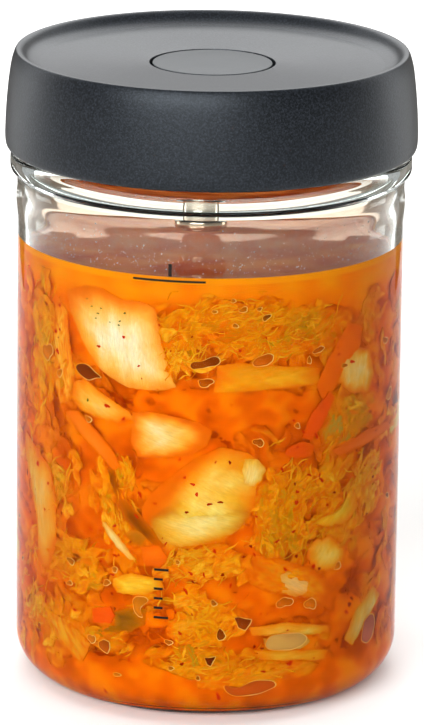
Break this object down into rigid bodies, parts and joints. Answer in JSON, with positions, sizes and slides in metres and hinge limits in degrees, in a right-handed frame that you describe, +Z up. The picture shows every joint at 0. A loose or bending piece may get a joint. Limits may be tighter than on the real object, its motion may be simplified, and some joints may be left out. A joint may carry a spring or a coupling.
{
  "type": "fermentation jar",
  "caption": "Straight glass fermentation jar filled with kimchi, with a grained plastic lid, a press button in the lid and a steel vent valve under it.",
  "frame": {"origin": "on the jar's axis, in the plane that its base stands on", "axes": "+Z up along the jar's axis; the fill mark faces -Y"},
  "size_m": [0.117, 0.117, 0.1824],
  "materials": {
    "glass": "clear pressed soda-lime glass, fire polished",
    "lid_plastic": "anthracite, fine spark-eroded grain",
    "button_plastic": "anthracite, smoother than the lid",
    "steel": "turned and polished",
    "food": "wet, orange brine over cabbage, carrot and chilli"
  },
  "bodies": {
    "jar": {"jar_glass": "glass", "lid": "lid_plastic", "vent_valve": "steel", "kimchi": "food"},
    "button": {"vent_button": "button_plastic"}
  },
  "joints": [
    {"name": "vent_press", "type": "slide", "parent": "jar", "child": "button", "axis": [0, 0, 1], "range_m": [-0.002, 0], "stiffness_N_per_m": 800, "springref_m": 0.002}
  ]
}
